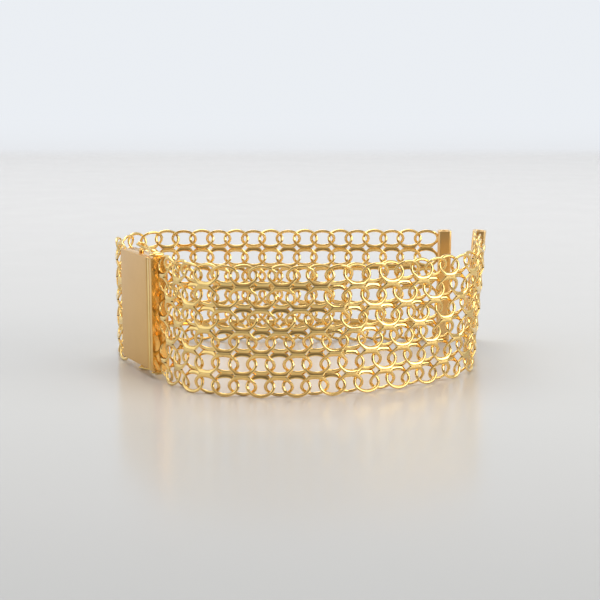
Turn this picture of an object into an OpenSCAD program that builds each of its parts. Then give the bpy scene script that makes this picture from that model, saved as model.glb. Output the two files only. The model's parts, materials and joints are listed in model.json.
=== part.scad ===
// Woven link watch bracelet, standing on its edge as it is worn round a wrist.
// Every link is one stamped strip of rings, folded like a fan. Neighbouring strips are
// folded the other way round and their rings pass through each other, as in chain mail.
// Millimetres. X runs along the front of the band, Y to the back, Z across its width.

/* [Link] */
// Number of rings in one link, across the width of the band
rows = 6; // [4:2:8]
// Distance between the middles of two rings of one link
row_pitch = 3.36; // [3.28:0.02:3.5]
// Outer size of a ring along the band
ring_w = 4.5; // [4.4:0.02:4.6]
// Outer size of a ring across the band
ring_h = 3.2; // [3.1:0.02:3.26]
// Width of the metal round a ring's hole
ring_band = 0.43; // [0.36:0.01:0.46]
// Width of the waist that joins two rings of one link
waist_w = 2.24; // [2:0.04:2.4]
// Height of the waist that joins two rings of one link
waist_h = 1; // [0.7:0.05:1.1]
// Thickness of the stamped sheet
sheet_t = 0.32; // [0.24:0.01:0.34]
// How far a link's fold lines stand off the middle of the band
fold_depth = 0.56; // [0.52:0.02:0.66]

/* [Front half] */
// Links in each run of the front half, counted from the clasp
front_counts = [2, 3, 6, 8, 4, 5]; // [2:1:8]
// Bend at each link of a run, in degrees, inwards being positive
front_bends = [3, 13.8, 5, 3.3, 12, -2.5]; // [-3:0.1:14]
// Distance between two links of a run, which have play
front_pitches = [2.65, 2.85, 2.7, 2.75, 2.85, 3.1]; // [2.6:0.05:3.1]
// How far the loosely worn front half flares to the right at its top, in degrees
flare = 4; // [0:0.5:4]
// Link at which the flare begins
flare_from = 5; // [1:1:8]
// Number of links over which the flare grows
flare_over = 9; // [6:1:12]

/* [Back half] */
// Links in each run of the back half, counted from the clasp
back_counts = [7, 14]; // [6:1:14]
// Bend at each link of a run, in degrees, outwards being positive
back_bends = [-16.9, 0]; // [-17:0.1:0]
// Distance between two links of a run, which have play
back_pitches = [3, 3.05]; // [2.7:0.05:3.1]

/* [End tubes] */
// Diameter of the bore for the watch's spring bar
bar_bore = 1.6; // [1.3:0.1:1.8]
// Wall of an end tube round its bore
tube_wall = 0.35; // [0.3:0.05:0.5]
// Radius on the long edges of an end tube
tube_round = 0.45; // [0.3:0.05:0.6]
// How far an end tube stops short of the band's edges
tube_inset = 0.2; // [0.15:0.05:0.6]
// Depth to which a ring is let into what it is soldered to
solder_seat = 0.25; // [0.15:0.05:0.3]

/* [Clasp] */
// Length of the clasp's box along the band
clasp_l = 11.3; // [10:0.1:13]
// Width of the clasp's box, across the band
clasp_h = 17.9; // [16:0.1:18]
// Thickness of the clasp's box
clasp_t = 2.8; // [2.6:0.1:3.2]
// Height of the box above the edge that the band stands on
clasp_lift = 1.3; // [1.3:0.05:1.5]
// Direction in which the tongue leaves the box, in degrees
clasp_heading = -61.4; // [-65:0.2:-58]
// Thickness of the box's sheet
box_wall = 0.5; // [0.4:0.05:0.6]
// Bevel on the ends of the cover plate
cover_bevel = 0.3; // [0.15:0.05:0.35]
// Thickness of the lip inside the box's mouth
lip_t = 0.5; // [0.4:0.05:0.7]
// How far that lip reaches below the cover plate
lip_depth = 0.36; // [0.3:0.02:0.4]

/* [Tongue] */
// Clearance between the spring's fold and the closed end of the box
fold_gap = 0.28; // [0.1:0.02:1]
// Thickness of the spring's sheet
leaf_t = 0.35; // [0.25:0.05:0.4]
// Running clearance of the tongue in the box
slide_gap = 0.1; // [0.05:0.01:0.12]
// Gap between the box, the push bar and the tongue's end wall
push_gap = 0.15; // [0.12:0.01:0.2]
// Size of the push bar along the band
push_l = 0.7; // [0.5:0.05:0.9]
// Travel of the push bar
push_travel = 0.36; // [0.2:0.02:0.38]
// Thickness of the tongue's end wall
end_wall = 0.8; // [0.6:0.05:1]

/* [Safety catches] */
// Diameter of the catches' wire
wire_d = 0.32; // [0.26:0.02:0.36]
// Clearance of the wire in its lug, on the radius
wire_gap = 0.04; // [0.02:0.01:0.06]
// Wall of a lug round the wire
lug_wall = 0.22; // [0.15:0.01:0.24]
// Length of a lug
lug_l = 1.3; // [1:0.05:1.4]
// Half the width of a lug's foot, as a share of the lug's radius
foot_share = 0.7; // [0.6:0.05:0.9]
// Distance from a catch's hinge to its stud
catch_l = 6.4; // [5.5:0.1:6.6]
// Place of a catch's pinch, as a share of that distance
pinch_share = 0.45; // [0.35:0.05:0.55]
// Diameter of the ball stud that a catch closes over
stud_d = 0.84; // [0.7:0.02:0.86]
// Clearance between a stud and the loop round it
loop_gap = 0.14; // [0.1:0.01:0.18]
// Diameter of the grip at a catch's free end
grip_d = 0.6; // [0.5:0.02:0.62]
// Angle by which the upper catch stands off its closed place
upper_open = 8; // [6:0.5:12]
// Angle by which the lower catch stands off its closed place
lower_open = 4.3; // [4.1:0.1:4.4]

/* [Hidden] */
$fn = 48;
gold = [0.87, 0.68, 0.33];
pale_gold = [0.93, 0.78, 0.46];
deep_gold = [0.76, 0.55, 0.24];
eps = 0.01;

band_w = (rows - 1) * row_pitch + ring_h;
half_depth = fold_depth + sheet_t / 2;
tube_d = bar_bore + 2 * tube_wall;

// Heights of the box and of its inside
box_z0 = clasp_lift;
box_z1 = clasp_lift + clasp_h;
inner_z0 = box_z0 + box_wall;
inner_z1 = box_z1 - box_wall;

// The box's faces, counted from the middle of its thickness towards the wrist
face_y = -clasp_t / 2;
wrist_y = clasp_t / 2;
cover_y = face_y + box_wall;
floor_y = wrist_y - box_wall;

// The folded spring: the lower leaf runs on the box's floor, the upper leaf under its lip
lower_y1 = floor_y - slide_gap;
lower_y0 = lower_y1 - leaf_t;
lip_y = cover_y + lip_depth;
upper_y0 = lip_y + slide_gap;
upper_y1 = upper_y0 + leaf_t;
fold_r = (lower_y1 - upper_y0) / 2;
fold_y = (lower_y1 + upper_y0) / 2;
fold_cut = 0.03;
leaf_l = clasp_l - box_wall - fold_gap - fold_r;

// Along the band, from the box's mouth
push_x0 = push_gap;
push_x1 = push_x0 + push_l;
wall_x0 = push_x1 + push_gap;
wall_x1 = wall_x0 + end_wall;

// The catches' hinge, above the plug of the tongue
lug_r = wire_d / 2 + wire_gap + lug_wall;
lug_x = (push_x0 + wall_x1) / 2;
stud_x = lug_x - catch_l;
stud_rise = stud_d / 4;
loop_r = stud_d / 2 + loop_gap + wire_d / 2;
arm_y = lug_l / 2 + wire_d;
pinch_x = -pinch_share * catch_l;
pinch_y = wire_d / 2 + wire_gap / 2;
lug_foot = foot_share * lug_r;

function dir(a) = [cos(a), sin(a)];
function spread(counts, values) = [for (k = [0:len(counts) - 1]) for (m = [1:counts[k]]) values[k]];
// Middles and headings of a row of links, each hinged half way to the next
function chain(start, heading, bends, pitches) = [
    for (i = 0, p = start, h = heading;
         i <= len(bends);
         p = i < len(bends) ? p + pitches[i] / 2 * (dir(h) + dir(h + bends[i])) : p,
         h = i < len(bends) ? h + bends[i] : h,
         i = i + 1)
    [p[0], p[1], h]
];
function flare_at(i) = flare * min(1, max(0, (i + 1 - flare_from) / flare_over));

// Both halves start one soldered link away from the clasp, whose mouth is the plan's zero
link_seat = ring_w / 2 - solder_seat;
front_plan = chain((wall_x1 + link_seat) * dir(clasp_heading), clasp_heading,
                   spread(front_counts, front_bends), spread(front_counts, front_pitches));
back_plan = chain(-(clasp_l + link_seat) * dir(clasp_heading), clasp_heading + 180,
                  spread(back_counts, back_bends), spread(back_counts, back_pitches));

// The origin lies under the middle of the whole bracelet
front_n = len(front_plan);
back_n = len(back_plan);
last = front_plan[front_n - 1];
tube_x = last[0] + (link_seat + tube_d / 2) * cos(last[2]) + tube_d / 2;
tube_y = last[1] + (link_seat + tube_d) * sin(last[2]);
right_x = max(concat([tube_x], [for (c = front_plan) c[0] + half_depth])) + band_w * sin(flare);
left_x = min([for (c = back_plan) c[0]]) - half_depth;
front_y = min([for (c = front_plan) c[1]]) - half_depth;
back_y = max(concat([tube_y], [for (c = back_plan) c[1] + tube_d / 2]));
mouth = -[(left_x + right_x) / 2, (front_y + back_y) / 2];

function two(n) = str(n < 10 ? "0" : "", n);
function front_name(i) = str("front_link_", two(i + 1));
function back_name(i) = str("back_link_", two(i + 1));

module block(x0, x1, y0, y1, z0, z1) {
    translate([x0, y0, z0]) cube([x1 - x0, y1 - y0, z1 - z0]);
}

module oval(w, h) {
    translate([-(w - h) / 2, 0]) circle(d = h);
    translate([(w - h) / 2, 0]) circle(d = h);
    square([w - h, h], center = true);
}

// One link: the outline of its rings, folded along the waists

function fold_z(j) = ring_h / 2 + (j - 0.5) * row_pitch;

module link_outline() {
    for (r = [0:rows - 1]) {
        translate([0, ring_h / 2 + r * row_pitch]) difference() {
            oval(ring_w, ring_h);
            oval(ring_w - 2 * ring_band, ring_h - 2 * ring_band);
        }
    }
    for (j = [1:rows - 1]) {
        translate([0, fold_z(j)]) square([waist_w, waist_h], center = true);
    }
}

module fold_profile(side) {
    polygon(concat(
        [for (j = [0:rows]) [side * fold_depth * pow(-1, j) - sheet_t / 2, fold_z(j)]],
        [for (j = [rows:-1:0]) [side * fold_depth * pow(-1, j) + sheet_t / 2, fold_z(j)]]));
}

module link(side) {
    color(side > 0 ? gold : pale_gold) intersection() {
        rotate([90, 0, 0]) linear_extrude(height = 4 * half_depth, center = true) link_outline();
        rotate([90, 0, 90]) linear_extrude(height = 2 * ring_w, center = true) fold_profile(side);
    }
}

// A link that is soldered on: its rings are cut flat where they meet the wall, at end +1 or -1
module soldered_link(side, end) {
    difference() {
        link(side);
        translate([end * (link_seat + ring_w / 2), 0, band_w / 2])
            cube([ring_w, 4 * half_depth, 2 * band_w], center = true);
    }
}

// The tube at a watch end, on the outer side of the last link
module end_tube() {
    r = min(tube_round, tube_d / 2 - eps);
    flat = tube_d - 2 * r;
    color(deep_gold) translate([link_seat + tube_d / 2, 0, tube_inset])
        linear_extrude(height = band_w - 2 * tube_inset) difference() {
            union() {
                square([tube_d, flat], center = true);
                square([flat, tube_d], center = true);
                for (a = [-1, 1]) {
                    for (b = [-1, 1]) translate([a * flat / 2, b * flat / 2]) circle(r = r);
                }
            }
            circle(d = bar_bore);
        }
}

// Places on the plan. A leaning link is raised so that its foot stays on the surface
module on_plan(c, lean) {
    foot = (ring_w - ring_h) / 2 + half_depth;
    translate([mouth[0] + c[0], mouth[1] + c[1], foot * sin(lean)])
        rotate([0, lean, 0]) rotate([0, 0, c[2]]) children();
}

module on_front(i) {
    on_plan(front_plan[i], flare_at(i)) children();
}

module on_back(i) {
    on_plan(back_plan[i], 0) children();
}

module at_clasp() {
    translate([mouth[0], mouth[1], 0]) rotate([0, 0, clasp_heading]) children();
}

// Outer fold lines at the top edge on every second link
function side_of(i) = i % 2 == 0 ? 1 : -1;

module front_link(i) {
    on_front(i) {
        if (i == 0) soldered_link(side_of(i), -1);
        else if (i == front_n - 1) soldered_link(side_of(i), 1);
        else link(side_of(i));
    }
}

module back_link(i) {
    on_back(i) {
        if (i == 0) soldered_link(side_of(i), -1);
        else if (i == back_n - 1) soldered_link(side_of(i), 1);
        else link(side_of(i));
    }
}

module front_end_tube() {
    on_front(front_n - 1) end_tube();
}

module back_end_tube() {
    on_back(back_n - 1) end_tube();
}

// The clasp's box: a tray that is open at its mouth, with a ball stud on either edge

module stud(up) {
    z = up > 0 ? box_z1 : box_z0;
    translate([stud_x, 0, z + up * stud_rise]) sphere(d = stud_d);
}

module clasp_base() {
    color(gold) at_clasp() {
        difference() {
            block(-clasp_l, 0, cover_y, wrist_y, box_z0, box_z1);
            block(-clasp_l + box_wall, eps, face_y, floor_y, inner_z0, inner_z1);
        }
        for (up = [-1, 1]) {
            difference() {
                stud(up);
                block(-clasp_l, 0, cover_y, wrist_y, box_z0 + eps, box_z1 - eps);
            }
        }
    }
}

// The smooth cover plate, bevelled at its ends, with the lip that holds the spring
module clasp_cover() {
    color(gold) at_clasp() {
        translate([0, 0, box_z0]) linear_extrude(height = clasp_h) polygon([
            [-clasp_l, cover_y], [-clasp_l, face_y + cover_bevel],
            [-clasp_l + cover_bevel, face_y], [-cover_bevel, face_y],
            [0, face_y + cover_bevel], [0, cover_y]]);
        block(-lip_t, 0, cover_y - eps, lip_y, inner_z0, inner_z1);
    }
}

// The tongue: end wall, plug under the push bar and the spring's lower leaf
module tongue_cap() {
    plug_y = upper_y1 + push_travel + slide_gap;
    color(gold) at_clasp() {
        block(wall_x0, wall_x1, face_y, wrist_y, box_z0, box_z1);
        block(push_x0, wall_x0 + eps, plug_y, wrist_y, box_z0, box_z1);
        block(-leaf_l, push_x0 + eps, lower_y0, lower_y1, inner_z0 + slide_gap, inner_z1 - slide_gap);
    }
}

// The spring's fold and upper leaf, with the push bar that stands in the gap beside the cover
module tongue_spring() {
    z0 = inner_z0 + slide_gap;
    z1 = inner_z1 - slide_gap;
    color(pale_gold) at_clasp() {
        block(-leaf_l, push_x0 + eps, upper_y0, upper_y1, z0, z1);
        block(push_x0, push_x1, face_y, upper_y1, box_z0, box_z1);
        translate([-leaf_l, fold_y, z0]) linear_extrude(height = z1 - z0) difference() {
            circle(r = fold_r);
            circle(r = fold_r - leaf_t);
            translate([0, -2 * fold_r]) square([4 * fold_r, 4 * fold_r]);
            translate([-fold_cut, 0]) square([2 * fold_r, 2 * fold_r]);
        }
        block(-leaf_l - eps, -leaf_l + eps, upper_y0, upper_y1, z0, z1);
    }
}

module lug() {
    color(deep_gold) difference() {
        union() {
            rotate([90, 0, 0]) cylinder(r = lug_r, h = lug_l, center = true);
            translate([-lug_foot, -lug_l / 2, -lug_r]) cube([2 * lug_foot, lug_l, lug_foot]);
        }
        rotate([90, 0, 0]) cylinder(r = wire_d / 2 + wire_gap, h = 2 * lug_l, center = true);
    }
}

module catch_lugs() {
    at_clasp() {
        translate([lug_x, 0, box_z1 + lug_r]) lug();
        translate([lug_x, 0, box_z0 - lug_r]) mirror([0, 0, 1]) lug();
    }
}

// A straight stretch of a catch, between two points of its plane
module stretch(a, b) {
    d = b - a;
    translate(a) rotate(atan2(d[1], d[0])) translate([0, -wire_d / 2]) square([norm(d), wire_d]);
}

// A safety catch: a wide loop on the round hinge, a pinch, and the loop for the stud
module catch_wire() {
    color(pale_gold) {
        linear_extrude(height = wire_d, center = true) {
            for (s = [-1, 1]) {
                stretch([0, s * arm_y], [pinch_x, s * pinch_y]);
                stretch([pinch_x, s * pinch_y], [-catch_l, s * loop_r]);
                translate([pinch_x, s * pinch_y]) circle(d = wire_d);
            }
            translate([-catch_l, 0]) difference() {
                circle(r = loop_r + wire_d / 2);
                circle(r = loop_r - wire_d / 2);
                translate([0, -2 * loop_r]) square(4 * loop_r);
            }
        }
        rotate([90, 0, 0]) cylinder(d = wire_d, h = 2 * arm_y + wire_d, center = true);
        translate([-catch_l - loop_r - wire_d / 4, 0, 0])
            rotate([90, 0, 0]) cylinder(d = grip_d, h = grip_d, center = true);
    }
}

module upper_catch() {
    at_clasp() translate([lug_x, 0, box_z1 + lug_r]) rotate([0, upper_open, 0]) catch_wire();
}

module lower_catch() {
    at_clasp() translate([lug_x, 0, box_z0 - lug_r]) rotate([0, -lower_open, 0]) catch_wire();
}

clasp_base();
clasp_cover();
tongue_cap();
tongue_spring();
catch_lugs();
upper_catch();
lower_catch();
front_end_tube();
back_end_tube();
for (i = [0:front_n - 1]) front_link(i);
for (i = [0:back_n - 1]) back_link(i);
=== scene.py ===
"""Looks for the woven link watch bracelet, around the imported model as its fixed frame.

Sizes are in millimetres, as in the part's source, and meshes are made in metres.
"""

import json
import math

import bmesh
import bpy
import numpy as np
from mathutils import Matrix, Vector


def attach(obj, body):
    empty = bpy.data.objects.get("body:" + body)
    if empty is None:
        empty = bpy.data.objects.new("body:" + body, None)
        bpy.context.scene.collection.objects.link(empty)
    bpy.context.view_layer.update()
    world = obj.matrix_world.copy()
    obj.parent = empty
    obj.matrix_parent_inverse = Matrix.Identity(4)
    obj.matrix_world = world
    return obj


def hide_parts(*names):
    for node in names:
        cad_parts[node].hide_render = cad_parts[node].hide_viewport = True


MM = 0.001

# Link, as in the part's source
ROWS = 6
ROW_PITCH = 3.36
RING_W = 4.5
RING_H = 3.2
WAIST_W = 2.24
SHEET_T = 0.32
FOLD_DEPTH = 0.56

# Plan of the band: links in each run, bend at each link, distance between two links
FRONT = ([2, 3, 6, 8, 4, 5], [3, 13.8, 5, 3.3, 12, -2.5], [2.65, 2.85, 2.7, 2.75, 2.85, 3.1])
BACK = ([7, 14], [-16.9, 0], [3, 3.05])
FLARE = 4
FLARE_FROM = 5
FLARE_OVER = 9
SOLDER_SEAT = 0.25
TUBE_D = 2.3

# Clasp
CLASP_L = 11.3
CLASP_HEADING = -61.4
CLASP_Z0 = 1.3
CLASP_Z1 = 19.2
WALL_X1 = 1.8

# Safety catches
WIRE_D = 0.32
LUG_X = 0.975
LUG_R = 0.42
LUG_L = 1.3
CATCH_L = 6.4
STUD_D = 0.84
LOOP_GAP = 0.14
WIRE_GAP = 0.04
GRIP_D = 0.6
UPPER_OPEN = 8
LOWER_OPEN = 4.3

# Outline of a catch from its hinge bar to its loop. Shoulder: millimetres from the bar, share
# of the arm. Taper and swell: share of the length, share of the arm or of the loop. The loop
# goes on past its half circle by LOOP_OVER, in radians, at either end.
SHOULDER = (0.6, 0.9)
TAPER = (0.22, 0.55)
PINCH_AT = 0.45
SWELL = (0.72, 0.6)
LOOP_OVER = 0.35
LOOP_POINTS = 9
WIRE_SPAN_STEPS = 5
WIRE_STEPS = 12
GRIP_BANDS = 8
GRIP_STEPS = 14

# The metal round a ring's hole: the photo shows it broader than the 0.43 of the part's source
RING_BAND = 0.5

# Rounding of a link's edges and folds, how far its faces stand out in the middle, and where
# the points lie across the metal round a hole, as shares
RING_STEPS = 40
EDGE_R = 0.13
FOLD_R = 0.22
CROWN = 0.05
ACROSS = (0, 0.15, 0.5, 0.85, 1)

# Beside a waist a ring's outer edge eases onto the fold line: over this share of the waist's
# half width, and with this least share of sideways direction in its edge
WAIST_EASE = 0.45
SIDE_SHARE = 0.25

# Points closer than this, in metres, become one
EPS = 1e-6

# How unevenly the links hang: turn in degrees, shift along the band
PLAY_TURN = 1.4
PLAY_SHIFT = 0.035
PLAY_STEP = 2.4

# Bevels on the solids of the clasp and the tubes
BEVEL_SEGMENTS = 3
BEVEL_ANGLE = 35
FLAT_ANGLE = 1

# Noise in the gold, in waves per metre. Tint: waves, detail. Polish: waves, least and most
# share of the roughness. Grain of the scratches: waves, detail, stretch.
NOISE_SPAN = (0.3, 0.7)
TINT_NOISE = (380, 3)
POLISH_DETAIL = 4
SCRATCH_DEPTH = 0.02
FINE_POLISH = (900, 0.6, 1.5)
FINE_GRAIN = (2500, 5, (1, 1, 0.08))
SMOOTH = {"polish": (140, 0.85, 1.2), "grain": (160, 2)}

# Colour, roughness and finish of each material slot
GOLDS = {
    "mesh_gold": ((0.89, 0.635, 0.245), 0.075, {}),
    "box_gold": ((0.86, 0.52, 0.16), 0.16, {"scratch": 0.12, "wear": 0.06, **SMOOTH}),
    # The plate's gold is darker than the tray's: painted shade, for the dim light that the plate
    # reflects
    "plate_gold": ((0.74, 0.455, 0.165), 0.2, {"scratch": 0.1, "wear": 0.02, **SMOOTH}),
    "spring_gold": ((0.93, 0.62, 0.20), 0.16, {"scratch": 0.12}),
    "wire_gold": ((0.95, 0.67, 0.25), 0.12, {}),
    # The tubes' gold is made paler and brighter than the clasp's: painted light
    "tube_gold": ((0.95, 0.66, 0.3), 0.28, {"scratch": 0.15, "wear": 0.05, **SMOOTH}),
}

# Pieces made from the solids: node, piece, bevel width, material slot
BEVELLED = (
    ("clasp_base", "clasp_tray", 0.1, "box_gold"),
    ("clasp_cover", "clasp_plate", 0.2, "plate_gold"),
    ("tongue_cap", "tongue_wall", 0.1, "box_gold"),
    ("tongue_spring", "tongue_leaf", 0.06, "spring_gold"),
    ("catch_lugs", "catch_ears", 0.05, "wire_gold"),
    ("front_end_tube", "front_bar_tube", 0.06, "tube_gold"),
    ("back_end_tube", "back_bar_tube", 0.06, "tube_gold"),
)

# Stage, in metres: the floor between its two bends, with the backdrop behind the bracelet and a
# dim wall behind the camera
FLOOR_HALF = 1.2
BACK_BEND_Y = 0.5
BACK_BEND_R = 0.06
BACK_TOP = 0.6
NEAR_BEND_Y = -1.2
NEAR_BEND_R = 0.4
NEAR_TOP = 0.75
BEND_STEPS = 16
BEND_START = 0.1

# Tones of wall and floor by their place along Y, in metres: the floor's pale grey with painted
# shade, darker towards the camera and the dim wall behind it, lighter towards the backdrop
FLOOR_TONES_WITH_PAINTED_SHADE = (
    (-1.2, (0.29, 0.245, 0.2)), (-0.5, (0.42, 0.405, 0.385)),
    (-0.16, (0.445, 0.462, 0.465)), (-0.12, (0.445, 0.462, 0.465)),
    (-0.093, (0.485, 0.497, 0.5)), (-0.067, (0.526, 0.532, 0.531)),
    (-0.034, (0.562, 0.575, 0.573)), (0.05, (0.59, 0.597, 0.597)),
    (0.2, (0.65, 0.655, 0.66)), (0.45, (0.675, 0.685, 0.695)))
FLOOR_MOTTLE = (60, 4)
FLOOR_GLOSS = (0.15, 0.24)
BACKDROP_COLOR = (0.83, 0.86, 0.90)
BACKDROP_FROM = (0.43, 0.54)

# Warm patch on the floor, for the light that the gold throws there: half sizes in metres, shift
# towards the camera and even middle as shares of them
FLOOR_PAINTED_BOUNCE = (0.73, 0.69, 0.65)
WARM_HALF = (0.037, 0.04)
WARM_SHIFT = 0.16
WARM_CORE = 0.35

# Room light by direction. Strengths of the dim side and the bright side, and what ceiling, low
# part of the dim side, spot behind the camera and window add; spans along Y or Z of a unit
# direction, or half angles in degrees.
ROOM_WARM = (1, 0.86, 0.74)
ROOM_COOL = (0.95, 0.97, 1)
DIM_SIDE, BRIGHT_SIDE, SIDE_SPAN = 0.38, 0.6, (-0.7, 0.5)
CEILING, CEILING_SPAN = 0.3, (0.45, 0.95)
LOW_PART, LOW_SPAN = -0.28, (0.02, 0.32)
SPOT, SPOT_WAY, SPOT_SPAN = -0.1, (0, -1, 0.12), (26, 6)
WINDOW, WINDOW_WAY, WINDOW_SPAN = 0.8, (-0.86, -0.28, 0.42), (34, 12)

# Lamps: name, place, target, size, watts, colour
LAMPS = (
    ("overhead", (-0.1, 0.25, 0.6), (0, 0, 0), (0.5, 0.4), 2.15, (1, 0.98, 0.95)),
    ("right_front", (0.5, -0.2, 0.24), (0, 0, 0.01), (0.55, 0.25), 1.75, (1, 0.97, 0.92)),
)

# Camera, fitted to the photo: place, degrees down and round, lens
CAMERA_AT = (-1.75, -215, 50.8)
CAMERA_DOWN = 10.48
CAMERA_TURN = -0.22
LENS = 80.6
SENSOR = 36


# --- plan -------------------------------------------------------------------

def heading_dir(degrees):
    a = math.radians(degrees)
    return np.array([math.cos(a), math.sin(a)])


def spread(counts, values):
    return [v for n, v in zip(counts, values) for _ in range(n)]


def chain(start, heading, bends, pitches):
    """Middles and headings of a row of links, each hinged half way to the next."""
    p, h = np.array(start, float), heading
    rows = [(p.copy(), h)]
    for bend, pitch in zip(bends, pitches):
        p = p + pitch / 2 * (heading_dir(h) + heading_dir(h + bend))
        h += bend
        rows.append((p.copy(), h))
    return rows


def flare_at(i):
    return FLARE * min(1, max(0, (i + 1 - FLARE_FROM) / FLARE_OVER))


def plan():
    """Both halves of the band, and the clasp's mouth, with the origin under the middle."""
    seat = RING_W / 2 - SOLDER_SEAT
    along = heading_dir(CLASP_HEADING)
    front = chain((WALL_X1 + seat) * along, CLASP_HEADING,
                  spread(FRONT[0], FRONT[1]), spread(FRONT[0], FRONT[2]))
    back = chain(-(CLASP_L + seat) * along, CLASP_HEADING + 180,
                 spread(BACK[0], BACK[1]), spread(BACK[0], BACK[2]))
    half = FOLD_DEPTH + SHEET_T / 2
    band_w = (ROWS - 1) * ROW_PITCH + RING_H
    (lx, ly), lh = front[-1]
    tube_x = lx + (seat + TUBE_D / 2) * math.cos(math.radians(lh)) + TUBE_D / 2
    tube_y = ly + (seat + TUBE_D) * math.sin(math.radians(lh))
    right = max([tube_x] + [p[0] + half for p, _ in front])
    right += band_w * math.sin(math.radians(FLARE))
    left = min(p[0] for p, _ in back) - half
    near = min(p[1] for p, _ in front) - half
    far = max([tube_y] + [p[1] + TUBE_D / 2 for p, _ in back])
    mouth = -np.array([(left + right) / 2, (near + far) / 2])
    return front, back, mouth


def place(mouth, point, heading, lean=0):
    """Local millimetres of a link or the clasp to the shared frame, in metres."""
    foot = (RING_W - RING_H) / 2 + FOLD_DEPTH + SHEET_T / 2
    rise = foot * math.sin(math.radians(lean))
    move = Matrix.Translation((mouth[0] + point[0], mouth[1] + point[1], rise))
    tilt = Matrix.Rotation(math.radians(lean), 4, "Y")
    turn = Matrix.Rotation(math.radians(heading), 4, "Z")
    return Matrix.Scale(MM, 4) @ move @ (tilt @ turn)


# --- meshes -----------------------------------------------------------------

def add_object(name, verts, faces, matrix):
    mesh = bpy.data.meshes.new(name)
    mesh.from_pydata([tuple(v) for v in verts], [], faces)
    mesh.transform(matrix)
    bm = bmesh.new()
    bm.from_mesh(mesh)
    bmesh.ops.remove_doubles(bm, verts=bm.verts, dist=EPS)
    bmesh.ops.recalc_face_normals(bm, faces=bm.faces)
    bm.to_mesh(mesh)
    bm.free()
    mesh.shade_smooth()
    piece = bpy.data.objects.new(name, mesh)
    bpy.context.scene.collection.objects.link(piece)
    return piece


def fold(z, side):
    """How far the folded sheet stands off the band's middle at height z."""
    t = (z - RING_H / 2) / ROW_PITCH + 0.5
    k = math.floor(t)
    f = t - k
    soft = FOLD_R / ROW_PITCH
    near = min(f, 1 - f)
    depth = 1 - 2 * near
    if near < soft:
        depth = 1 - soft - near * near / soft
    start = 1 if k % 2 == 0 else -1
    return side * FOLD_DEPTH * depth * (start if f < 0.5 else -start)


def ring_curves(joined_low, joined_high):
    """Hole edge and outer edge of one ring as (x, z) from its middle, with the outward
    direction of the outer edge, and whether the outer edge runs along a fold line."""
    a, b = RING_W / 2, RING_H / 2
    ia, ib = a - RING_BAND, b - RING_BAND
    half_fold = ROW_PITCH / 2
    waist = WAIST_W / 2
    hole, outer, normal, on_fold = [], [], [], []
    for s in range(RING_STEPS):
        t = 2 * math.pi * (s + 0.5) / RING_STEPS
        c, n = math.cos(t), math.sin(t)
        hole.append((ia * c, ib * n))
        joined = joined_high if n > 0 else joined_low
        x, z = a * c, b * n
        nx, nz = c / a, n / b
        fade = 0
        if joined:
            fade = (waist * (1 + WAIST_EASE) - abs(x)) / (waist * WAIST_EASE)
            fade = min(1, max(0, fade))
        if fade >= 1:
            z = math.copysign(half_fold, n)
        elif fade > 0:
            ease = fade * fade
            z = z + (math.copysign(half_fold, n) - z) * ease
            nx = math.copysign(1, c) * (SIDE_SHARE + fade)
            nz = (nz / abs(nz)) * (1 - fade)
        size = math.hypot(nx, nz)
        outer.append((x, z))
        normal.append((nx / size, nz / size))
        on_fold.append(fade >= 1)
    return np.array(hole), np.array(outer), np.array(normal), on_fold


def link_mesh(side):
    """One stamped strip: rings joined at their waists, folded to and fro, edges rounded."""
    verts, faces = [], []
    h = SHEET_T / 2
    r = EDGE_R
    q = r * (1 - math.sqrt(0.5))
    for row in range(ROWS):
        hole, outer, normal, on_fold = ring_curves(row > 0, row < ROWS - 1)
        zc = RING_H / 2 + row * ROW_PITCH
        inward = hole / np.linalg.norm(hole, axis=1)[:, None]
        loops = []
        for s in range(RING_STEPS):
            i, o, n = hole[s], outer[s], normal[s]
            lip = i + r * inward[s]
            edge = o if on_fold[s] else o - r * n
            across = [(lip + (edge - lip) * t, h + CROWN * (1 - (2 * t - 1) ** 2))
                      for t in ACROSS]
            rim = [(o - q * n, h - q), (o, h - r)]
            well = [(i, h - r), (i + q * inward[s], h - q)]
            front = well + across + ([] if on_fold[s] else rim)
            loops.append((front, on_fold[s]))
        index = []
        for front, folded in loops:
            ids = []
            for point, y in front + [(p, -y) for p, y in reversed(front)]:
                z = zc + point[1]
                ids.append(len(verts))
                verts.append((point[0], fold(z, side) + y, z))
            index.append((ids, folded))
        for s in range(RING_STEPS):
            (a, fa), (b, fb) = index[s], index[(s + 1) % RING_STEPS]
            count_a, count_b = len(a), len(b)
            shared = min(count_a, count_b) // 2
            for k in range(shared - 1):
                faces.append((a[k], a[k + 1], b[k + 1], b[k]))
                faces.append((a[-k - 2], a[-k - 1], b[-k - 1], b[-k - 2]))
            faces.append((a[-1], a[0], b[0], b[-1]))
            if not fa and not fb:
                mid = count_a // 2
                faces.append((a[mid - 1], a[mid], b[mid], b[mid - 1]))
    return verts, faces


def closed_tube(points, radius):
    """A round wire along a closed path of (x, y, z) points."""
    pts = [Vector(p) for p in points]
    n, steps = len(pts), WIRE_STEPS
    verts, faces = [], []
    up = Vector((0, 0, 1))
    for k, p in enumerate(pts):
        along = (pts[(k + 1) % n] - pts[k - 1]).normalized()
        out = along.cross(up).normalized()
        top = out.cross(along).normalized()
        for s in range(steps):
            t = 2 * math.pi * s / steps
            verts.append(p + radius * (math.cos(t) * out + math.sin(t) * top))
    for k in range(n):
        j = (k + 1) % n
        for s in range(steps):
            u = (s + 1) % steps
            faces.append((k * steps + s, k * steps + u, j * steps + u, j * steps + s))
    return verts, faces


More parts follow.
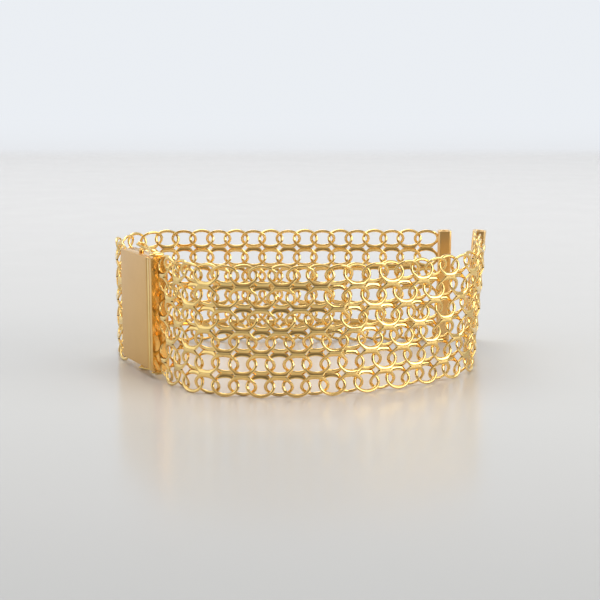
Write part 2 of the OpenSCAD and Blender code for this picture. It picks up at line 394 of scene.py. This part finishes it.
def rounded_path(corners, per_span):
    """A closed smooth path through corner points."""
    pts = [np.array(c, float) for c in corners]
    n = len(pts)
    path = []
    for k in range(n):
        p0, p1, p2, p3 = (pts[(k + d) % n] for d in (-1, 0, 1, 2))
        for s in range(per_span):
            t = s / per_span
            path.append(0.5 * (2 * p1 + (p2 - p0) * t
                               + (2 * p0 - 5 * p1 + 4 * p2 - p3) * t * t
                               + (3 * p1 - p0 - 3 * p2 + p3) * t ** 3))
    return path


def catch_mesh():
    """A safety catch in its own plane: hinge bar, pinch, the loop for the stud and its grip."""
    arm = LUG_L / 2 + WIRE_D
    pinch = WIRE_D / 2 + WIRE_GAP / 2
    loop = STUD_D / 2 + LOOP_GAP + WIRE_D / 2
    ring = [(-CATCH_L - loop * math.sin(t), loop * math.cos(t), 0)
            for t in np.linspace(-LOOP_OVER, math.pi + LOOP_OVER, LOOP_POINTS)]
    side = [(0, arm, 0), (-SHOULDER[0], arm * SHOULDER[1], 0),
            (-TAPER[0] * CATCH_L, arm * TAPER[1], 0), (-PINCH_AT * CATCH_L, pinch, 0),
            (-SWELL[0] * CATCH_L, loop * SWELL[1], 0)]
    back = [(x, -y, z) for x, y, z in reversed(side)]
    path = rounded_path(side + ring + back, WIRE_SPAN_STEPS)
    verts, faces = closed_tube(path, WIRE_D / 2)
    base = len(verts)
    grip_x = -CATCH_L - loop - WIRE_D / 4
    more, quads = [], []
    steps = GRIP_STEPS
    for k in range(GRIP_BANDS + 1):
        lat = math.pi * k / GRIP_BANDS
        for s in range(steps):
            t = 2 * math.pi * s / steps
            more.append(Vector((grip_x + GRIP_D / 2 * math.sin(lat) * math.cos(t),
                                GRIP_D / 2 * math.cos(lat),
                                GRIP_D / 2 * math.sin(lat) * math.sin(t))))
    for k in range(GRIP_BANDS):
        here, there = base + k * steps, base + (k + 1) * steps
        for s in range(steps):
            u = (s + 1) % steps
            quads.append((here + s, here + u, there + u, there + s))
    return verts + more, faces + quads


def bevelled_copy(node, name, width):
    """The CAD solid of a node with its sharp edges rounded."""
    piece = bpy.data.objects.new(name, frame["nodes"][node].data.copy())
    bpy.context.scene.collection.objects.link(piece)
    bm = bmesh.new()
    bm.from_mesh(piece.data)
    bmesh.ops.remove_doubles(bm, verts=bm.verts, dist=EPS)
    bmesh.ops.dissolve_limit(bm, angle_limit=math.radians(FLAT_ANGLE),
                             verts=bm.verts, edges=bm.edges)
    bm.to_mesh(piece.data)
    bm.free()
    piece.data.shade_smooth()
    bevel = piece.modifiers.new("edges", "BEVEL")
    bevel.width = width * MM
    bevel.segments = BEVEL_SEGMENTS
    bevel.limit_method = "ANGLE"
    bevel.angle_limit = math.radians(BEVEL_ANGLE)
    bevel.harden_normals = True
    return piece


# --- materials --------------------------------------------------------------

def gold(name, color, roughness, scratch=0.25, wear=0.12, polish=FINE_POLISH, grain=FINE_GRAIN):
    """Polished gold with uneven polish, fine scratches and a slightly uneven colour."""
    material = bpy.data.materials.new(name)
    material.use_nodes = True
    tree = material.node_tree
    shader = tree.nodes["Principled BSDF"]
    shader.inputs["Metallic"].default_value = 1
    coords = tree.nodes.new("ShaderNodeTexCoord")

    def noise(scale, detail, stretch=None):
        node = tree.nodes.new("ShaderNodeTexNoise")
        node.inputs["Scale"].default_value = scale
        node.inputs["Detail"].default_value = detail
        source = coords.outputs["Object"]
        if stretch:
            mapping = tree.nodes.new("ShaderNodeMapping")
            mapping.inputs["Scale"].default_value = stretch
            tree.links.new(source, mapping.inputs["Vector"])
            source = mapping.outputs["Vector"]
        tree.links.new(source, node.inputs["Vector"])
        return node.outputs["Fac"]

    def spread_to(value, low, high):
        node = tree.nodes.new("ShaderNodeMapRange")
        node.inputs["From Min"].default_value = NOISE_SPAN[0]
        node.inputs["From Max"].default_value = NOISE_SPAN[1]
        node.inputs["To Min"].default_value = low
        node.inputs["To Max"].default_value = high
        tree.links.new(value, node.inputs["Value"])
        return node.outputs["Result"]

    tint = tree.nodes.new("ShaderNodeMix")
    tint.data_type = "RGBA"
    tint.inputs["A"].default_value = (*[c * (1 - wear) for c in color], 1)
    tint.inputs["B"].default_value = (*[min(1, c * (1 + wear)) for c in color], 1)
    tree.links.new(spread_to(noise(*TINT_NOISE), 0, 1), tint.inputs["Factor"])
    tree.links.new(tint.outputs["Result"], shader.inputs["Base Color"])
    scale, least, most = polish
    rough = spread_to(noise(scale, POLISH_DETAIL), roughness * least, roughness * most)
    tree.links.new(rough, shader.inputs["Roughness"])
    bump = tree.nodes.new("ShaderNodeBump")
    bump.inputs["Strength"].default_value = scratch
    bump.inputs["Distance"].default_value = SCRATCH_DEPTH * MM
    tree.links.new(noise(*grain), bump.inputs["Height"])
    tree.links.new(bump.outputs["Normal"], shader.inputs["Normal"])
    return material


def dress(piece, slot, body, node):
    """Gives a piece its gold and its body, and hides the node that it stands for."""
    piece.data.materials.clear()
    piece.data.materials.append(golds[slot])
    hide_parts(node)
    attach(piece, body)


def ramp_along_y(tree, coords, low, high, curve="SMOOTHSTEP"):
    """0 before low and 1 after high, in metres along Y."""
    split = tree.nodes.new("ShaderNodeSeparateXYZ")
    tree.links.new(coords.outputs["Object"], split.inputs["Vector"])
    ramp = tree.nodes.new("ShaderNodeMapRange")
    ramp.interpolation_type = curve
    ramp.inputs["From Min"].default_value = low
    ramp.inputs["From Max"].default_value = high
    tree.links.new(split.outputs["Y"], ramp.inputs["Value"])
    return ramp.outputs["Result"]


def sweep_material():
    """The pale, slightly glossy floor, which turns into the paler backdrop behind it, with painted
    shade towards the camera and a patch of painted light round the bracelet.
    """
    material = bpy.data.materials.new("backdrop")
    material.use_nodes = True
    tree = material.node_tree
    shader = tree.nodes["Principled BSDF"]
    coords = tree.nodes.new("ShaderNodeTexCoord")
    # Painted shade: the floor's colour darkens along Y towards the camera
    start, end = FLOOR_TONES_WITH_PAINTED_SHADE[0][0], FLOOR_TONES_WITH_PAINTED_SHADE[-1][0]
    tint = tree.nodes.new("ShaderNodeValToRGB")
    tint.color_ramp.interpolation = "B_SPLINE"
    stops = tint.color_ramp.elements
    while len(stops) < len(FLOOR_TONES_WITH_PAINTED_SHADE):
        stops.new(1)
    for stop, (y, color) in zip(stops, FLOOR_TONES_WITH_PAINTED_SHADE):
        stop.position = (y - start) / (end - start)
        stop.color = (*color, 1)
    tree.links.new(ramp_along_y(tree, coords, start, end, "LINEAR"), tint.inputs["Fac"])
    # Painted light: a warm patch in the floor's colour round the bracelet, for the light that the
    # gold throws onto the floor
    patch = tree.nodes.new("ShaderNodeMapping")
    patch.inputs["Location"].default_value = (0, WARM_SHIFT, 0)
    patch.inputs["Scale"].default_value = (1 / WARM_HALF[0], 1 / WARM_HALF[1], 0)
    tree.links.new(coords.outputs["Object"], patch.inputs["Vector"])
    reach = tree.nodes.new("ShaderNodeVectorMath")
    reach.operation = "LENGTH"
    tree.links.new(patch.outputs["Vector"], reach.inputs[0])
    warm = tree.nodes.new("ShaderNodeMapRange")
    warm.interpolation_type = "SMOOTHSTEP"
    for name, value in (("From Min", WARM_CORE), ("From Max", 1), ("To Min", 1), ("To Max", 0)):
        warm.inputs[name].default_value = value
    tree.links.new(reach.outputs["Value"], warm.inputs["Value"])
    floor_with_painted_light = tree.nodes.new("ShaderNodeMix")
    floor_with_painted_light.data_type = "RGBA"
    tree.links.new(warm.outputs["Result"], floor_with_painted_light.inputs["Factor"])
    tree.links.new(tint.outputs["Color"], floor_with_painted_light.inputs["A"])
    floor_with_painted_light.inputs["B"].default_value = (*FLOOR_PAINTED_BOUNCE, 1)
    tree.links.new(floor_with_painted_light.outputs["Result"], shader.inputs["Base Color"])
    mottle = tree.nodes.new("ShaderNodeTexNoise")
    mottle.inputs["Scale"].default_value = FLOOR_MOTTLE[0]
    mottle.inputs["Detail"].default_value = FLOOR_MOTTLE[1]
    tree.links.new(coords.outputs["Object"], mottle.inputs["Vector"])
    gloss = tree.nodes.new("ShaderNodeMapRange")
    gloss.inputs["To Min"].default_value = FLOOR_GLOSS[0]
    gloss.inputs["To Max"].default_value = FLOOR_GLOSS[1]
    tree.links.new(mottle.outputs["Fac"], gloss.inputs["Value"])
    tree.links.new(gloss.outputs["Result"], shader.inputs["Roughness"])

    # The backdrop shows in its written colour to the camera and in reflections
    glow = tree.nodes.new("ShaderNodeEmission")
    glow.inputs["Color"].default_value = (*BACKDROP_COLOR, 1)
    path = tree.nodes.new("ShaderNodeLightPath")
    seen = tree.nodes.new("ShaderNodeMath")
    seen.operation = "MAXIMUM"
    tree.links.new(path.outputs["Is Camera Ray"], seen.inputs[0])
    tree.links.new(path.outputs["Is Glossy Ray"], seen.inputs[1])
    share = tree.nodes.new("ShaderNodeMath")
    share.operation = "MULTIPLY"
    tree.links.new(seen.outputs["Value"], share.inputs[0])
    tree.links.new(ramp_along_y(tree, coords, *BACKDROP_FROM), share.inputs[1])
    blend = tree.nodes.new("ShaderNodeMixShader")
    tree.links.new(share.outputs["Value"], blend.inputs["Fac"])
    tree.links.new(shader.outputs["BSDF"], blend.inputs[1])
    tree.links.new(glow.outputs["Emission"], blend.inputs[2])
    tree.links.new(blend.outputs["Shader"], tree.nodes["Material Output"].inputs["Surface"])
    return material


def sweep():
    """Near wall, floor and backdrop in one sheet with rounded bends."""
    line = [(NEAR_BEND_Y - NEAR_BEND_R, NEAR_TOP)]
    line += [(NEAR_BEND_Y - NEAR_BEND_R * math.cos(t), NEAR_BEND_R * (1 - math.sin(t)))
             for t in np.linspace(0, math.pi / 2, BEND_STEPS)]
    line.append((BACK_BEND_Y, 0.0))
    line += [(BACK_BEND_Y + BACK_BEND_R * math.sin(t), BACK_BEND_R * (1 - math.cos(t)))
             for t in np.linspace(BEND_START, math.pi / 2, BEND_STEPS)]
    line.append((BACK_BEND_Y + BACK_BEND_R, BACK_TOP))
    verts = [(x, y, z) for y, z in line for x in (-FLOOR_HALF, FLOOR_HALF)]
    faces = [(2 * k, 2 * k + 1, 2 * k + 3, 2 * k + 2) for k in range(len(line) - 1)]
    piece = add_object("backdrop", verts, faces, Matrix.Identity(4))
    piece.data.materials.append(sweep_material())


# --- light and camera -------------------------------------------------------

def area(name, location, target, size, power, color):
    lamp = bpy.data.lights.new(name, "AREA")
    lamp.shape = "RECTANGLE"
    lamp.size, lamp.size_y = size
    lamp.energy = power
    lamp.color = color
    holder = bpy.data.objects.new(name, lamp)
    holder.location = location
    aim = Vector(target) - Vector(location)
    holder.rotation_euler = aim.to_track_quat("-Z", "Y").to_euler()
    bpy.context.scene.collection.objects.link(holder)


def light():
    """A room that is dim behind the camera and bright above and behind the object."""
    world = bpy.data.worlds.new("studio")
    world.use_nodes = True
    tree = world.node_tree
    background = tree.nodes["Background"]
    coords = tree.nodes.new("ShaderNodeTexCoord")
    split = tree.nodes.new("ShaderNodeSeparateXYZ")
    tree.links.new(coords.outputs["Generated"], split.inputs["Vector"])

    def ramp(value, span, start, end):
        node = tree.nodes.new("ShaderNodeMapRange")
        node.interpolation_type = "SMOOTHSTEP"
        for name, number in (("From Min", span[0]), ("From Max", span[1]),
                             ("To Min", start), ("To Max", end)):
            node.inputs[name].default_value = number
        tree.links.new(value, node.inputs["Value"])
        return node.outputs["Result"]

    def toward(direction, half_angles, end):
        """0 away from a direction, outside the first angle, and end within the second."""
        dot = tree.nodes.new("ShaderNodeVectorMath")
        dot.operation = "DOT_PRODUCT"
        tree.links.new(coords.outputs["Generated"], dot.inputs[0])
        dot.inputs[1].default_value = Vector(direction).normalized()
        return ramp(dot.outputs["Value"], [math.cos(math.radians(a)) for a in half_angles], 0, end)

    def math_node(operation, first, second):
        node = tree.nodes.new("ShaderNodeMath")
        node.operation = operation
        tree.links.new(first, node.inputs[0])
        tree.links.new(second, node.inputs[1])
        return node.outputs["Value"]

    side = ramp(split.outputs["Y"], SIDE_SPAN, 0, 1)
    window = toward(WINDOW_WAY, WINDOW_SPAN, 1)
    tint = tree.nodes.new("ShaderNodeMix")
    tint.data_type = "RGBA"
    tint.inputs["A"].default_value = (*ROOM_WARM, 1)
    tint.inputs["B"].default_value = (*ROOM_COOL, 1)
    tree.links.new(math_node("ADD", side, window), tint.inputs["Factor"])
    tree.links.new(tint.outputs["Result"], background.inputs["Color"])
    height = split.outputs["Z"]
    low = math_node("MULTIPLY", ramp(height, LOW_SPAN, LOW_PART, 0), ramp(side, (0, 1), 1, 0))
    total = ramp(side, (0, 1), DIM_SIDE, BRIGHT_SIDE)
    for part in (ramp(height, CEILING_SPAN, 0, CEILING), low, toward(SPOT_WAY, SPOT_SPAN, SPOT),
                 ramp(window, (0, 1), 0, WINDOW)):
        total = math_node("ADD", total, part)
    tree.links.new(total, background.inputs["Strength"])
    bpy.context.scene.world = world
    for lamp in LAMPS:
        area(*lamp)


def camera():
    data = bpy.data.cameras.new("camera")
    data.sensor_width = SENSOR
    data.lens = LENS
    holder = bpy.data.objects.new("camera", data)
    holder.location = [v * MM for v in CAMERA_AT]
    holder.rotation_euler = (math.radians(90 - CAMERA_DOWN), 0, math.radians(CAMERA_TURN))
    bpy.context.scene.collection.objects.link(holder)
    bpy.context.scene.camera = holder


# --- the scene --------------------------------------------------------------

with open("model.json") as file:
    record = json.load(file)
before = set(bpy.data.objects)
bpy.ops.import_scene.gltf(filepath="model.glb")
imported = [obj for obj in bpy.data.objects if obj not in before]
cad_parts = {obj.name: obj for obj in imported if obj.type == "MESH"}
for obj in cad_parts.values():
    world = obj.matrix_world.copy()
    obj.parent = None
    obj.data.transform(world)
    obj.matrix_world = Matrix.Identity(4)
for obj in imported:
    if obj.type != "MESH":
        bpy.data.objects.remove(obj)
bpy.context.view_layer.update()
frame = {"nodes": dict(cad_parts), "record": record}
bpy.context.scene.view_settings.view_transform = "Standard"

golds = {slot: gold(slot, color, roughness, **finish)
         for slot, (color, roughness, finish) in GOLDS.items()}
front_rows, back_rows, mouth = plan()
bodies = frame["record"]["behaviour"]["bodies"]
body_of = {node: body for body, nodes in bodies.items() for node in nodes}
strips = {side: link_mesh(side) for side in (1, -1)}


def dress_band(key, rows, lean_at):
    """The links of one half. The first and last are soldered, so they have no play."""
    for i, (point, heading) in enumerate(rows):
        node = f"{key}_link_{i + 1:02d}"
        verts, faces = strips[1 if i % 2 == 0 else -1]
        held = i in (0, len(rows) - 1)
        play = 0 if held else PLAY_TURN * math.sin(PLAY_STEP * i)
        shift = 0 if held else PLAY_SHIFT * math.cos(PLAY_STEP * i)
        point = point + shift * heading_dir(heading)
        piece = add_object(f"{key}_strip_{i + 1:02d}", verts, faces,
                           place(mouth, point, heading + play, lean_at(i)))
        dress(piece, "mesh_gold", body_of[node], node)


dress_band("front", front_rows, flare_at)
dress_band("back", back_rows, lambda i: 0)

for node, name, width, slot in BEVELLED:
    dress(bevelled_copy(node, name, width), slot, body_of[node], node)

to_clasp = place(mouth, (0, 0), CLASP_HEADING)
for node, z, opened in (("upper_catch", CLASP_Z1 + LUG_R, UPPER_OPEN),
                        ("lower_catch", CLASP_Z0 - LUG_R, -LOWER_OPEN)):
    verts, faces = catch_mesh()
    at = Matrix.Translation((LUG_X, 0, z)) @ Matrix.Rotation(math.radians(opened), 4, "Y")
    piece = add_object(f"{node}_wire", verts, faces, to_clasp @ at)
    dress(piece, "wire_gold", node, node)

sweep()
light()
camera()
